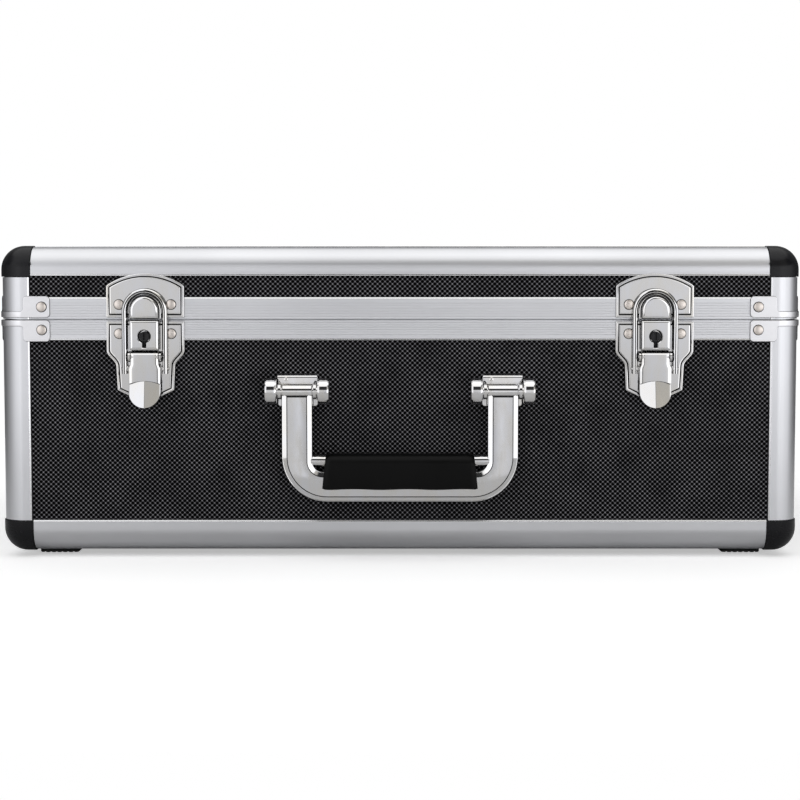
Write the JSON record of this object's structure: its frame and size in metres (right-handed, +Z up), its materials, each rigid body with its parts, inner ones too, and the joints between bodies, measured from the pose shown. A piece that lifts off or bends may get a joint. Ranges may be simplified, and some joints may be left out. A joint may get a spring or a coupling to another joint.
{
  "type": "attache case",
  "caption": "Hard attache case with black textured panels in an aluminium frame, ball corner caps, draw latches with key locks, rear hinges and a drop handle.",
  "frame": {"origin": "on the supporting surface, under the centre of the case's bounding box", "axes": "+X to the right along the case's length as seen from the front, +Y towards the hinges at the back, +Z up"},
  "size_m": [0.4622, 0.3538, 0.18],
  "materials": {
    "anodised_aluminium": "satin clear anodised extrusion with fine drawing lines",
    "black_laminate": "black laminate embossed with a small diamond lattice",
    "corner_cap_plastic": "glossy black moulded plastic",
    "nickel_plate": "nickel plated pressed steel, soft gloss",
    "chrome_plate": "polished chrome plate",
    "grip_plastic": "semi-matte black moulded plastic",
    "foot_rubber": "matte black rubber with shallow ribs",
    "hinge_steel": "zinc plated steel",
    "lock_zinc": "dull dark zinc casting",
    "foam": "dark grey open-cell foam"
  },
  "bodies": {
    "base": {"base_bottom_panel": "black_laminate", "base_corner_bracket_front_left": "nickel_plate", "base_corner_bracket_front_right": "nickel_plate", "base_corner_bracket_rear_left": "nickel_plate", "base_corner_bracket_rear_right": "nickel_plate", "base_corner_cap_front_left": "corner_cap_plastic", "base_corner_cap_front_right": "corner_cap_plastic", "base_corner_cap_rear_left": "corner_cap_plastic", "base_corner_cap_rear_right": "corner_cap_plastic", "base_edge": "anodised_aluminium", "base_foam_mat": "foam", "base_frame": "anodised_aluminium", "base_post_front_left": "anodised_aluminium", "base_post_front_right": "anodised_aluminium", "base_post_rear_left": "anodised_aluminium", "base_post_rear_right": "anodised_aluminium", "base_wall_panel": "black_laminate", "foot_front_left": "foot_rubber", "foot_front_right": "foot_rubber", "foot_rear_left": "foot_rubber", "foot_rear_right": "foot_rubber", "handle_axle_left": "chrome_plate", "handle_axle_right": "chrome_plate", "handle_bracket_left": "chrome_plate", "handle_bracket_right": "chrome_plate", "hinge_base_leaf_left": "hinge_steel", "hinge_base_leaf_right": "hinge_steel", "hinge_pin_left": "hinge_steel", "hinge_pin_right": "hinge_steel", "latch_base_plate_left": "chrome_plate", "latch_base_plate_right": "chrome_plate"},
    "lid": {"hinge_lid_leaf_left": "hinge_steel", "hinge_lid_leaf_right": "hinge_steel", "latch_keeper_left": "chrome_plate", "latch_keeper_right": "chrome_plate", "lid_corner_bracket_front_left": "nickel_plate", "lid_corner_bracket_front_right": "nickel_plate", "lid_corner_bracket_rear_left": "nickel_plate", "lid_corner_bracket_rear_right": "nickel_plate", "lid_corner_cap_front_left": "corner_cap_plastic", "lid_corner_cap_front_right": "corner_cap_plastic", "lid_corner_cap_rear_left": "corner_cap_plastic", "lid_corner_cap_rear_right": "corner_cap_plastic", "lid_edge": "anodised_aluminium", "lid_foam_pad": "foam", "lid_frame": "anodised_aluminium", "lid_post_front_left": "anodised_aluminium", "lid_post_front_right": "anodised_aluminium", "lid_post_rear_left": "anodised_aluminium", "lid_post_rear_right": "anodised_aluminium", "lid_top_panel": "black_laminate", "lid_wall_panel": "black_laminate"},
    "handle": {"handle_casting": "chrome_plate", "handle_grip": "grip_plastic"},
    "lever_left": {"latch_lever_left": "chrome_plate"},
    "bail_left": {"latch_bail_left": "chrome_plate"},
    "lock_left": {"lock_cam_left": "lock_zinc"},
    "lever_right": {"latch_lever_right": "chrome_plate"},
    "bail_right": {"latch_bail_right": "chrome_plate"},
    "lock_right": {"lock_cam_right": "lock_zinc"}
  },
  "joints": [
    {"name": "lid_hinge", "type": "hinge", "parent": "base", "child": "lid", "pos_m": [0, 0.17405, 0.1377], "axis": [-1, 0, 0], "range_deg": [0, 100]},
    {"name": "handle_swing", "type": "hinge", "parent": "base", "child": "handle", "pos_m": [0, -0.16925, 0.0971], "axis": [-1, 0, 0], "range_deg": [0, 90]},
    {"name": "latch_lever_left", "type": "hinge", "parent": "base", "child": "lever_left", "pos_m": [-0.146, -0.16465, 0.1166], "axis": [-1, 0, 0], "range_deg": [0, 95]},
    {"name": "latch_bail_left", "type": "hinge", "parent": "lever_left", "child": "bail_left", "pos_m": [-0.146, -0.16425, 0.1097], "axis": [-1, 0, 0], "range_deg": [-115, 0]},
    {"name": "lock_turn_left", "type": "hinge", "parent": "base", "child": "lock_left", "pos_m": [-0.146, -0.16425, 0.1283], "axis": [0, 1, 0], "range_deg": [0, 90]},
    {"name": "latch_lever_right", "type": "hinge", "parent": "base", "child": "lever_right", "pos_m": [0.146, -0.16465, 0.1166], "axis": [-1, 0, 0], "range_deg": [0, 95]},
    {"name": "latch_bail_right", "type": "hinge", "parent": "lever_right", "child": "bail_right", "pos_m": [0.146, -0.16425, 0.1097], "axis": [-1, 0, 0], "range_deg": [-115, 0]},
    {"name": "lock_turn_right", "type": "hinge", "parent": "base", "child": "lock_right", "pos_m": [0.146, -0.16425, 0.1283], "axis": [0, 1, 0], "range_deg": [0, 90]}
  ],
  "couplings": [
    {"joint": "latch_bail_left", "follows": "latch_lever_left", "ratio": -1.2},
    {"joint": "latch_bail_right", "follows": "latch_lever_right", "ratio": -1.2}
  ]
}
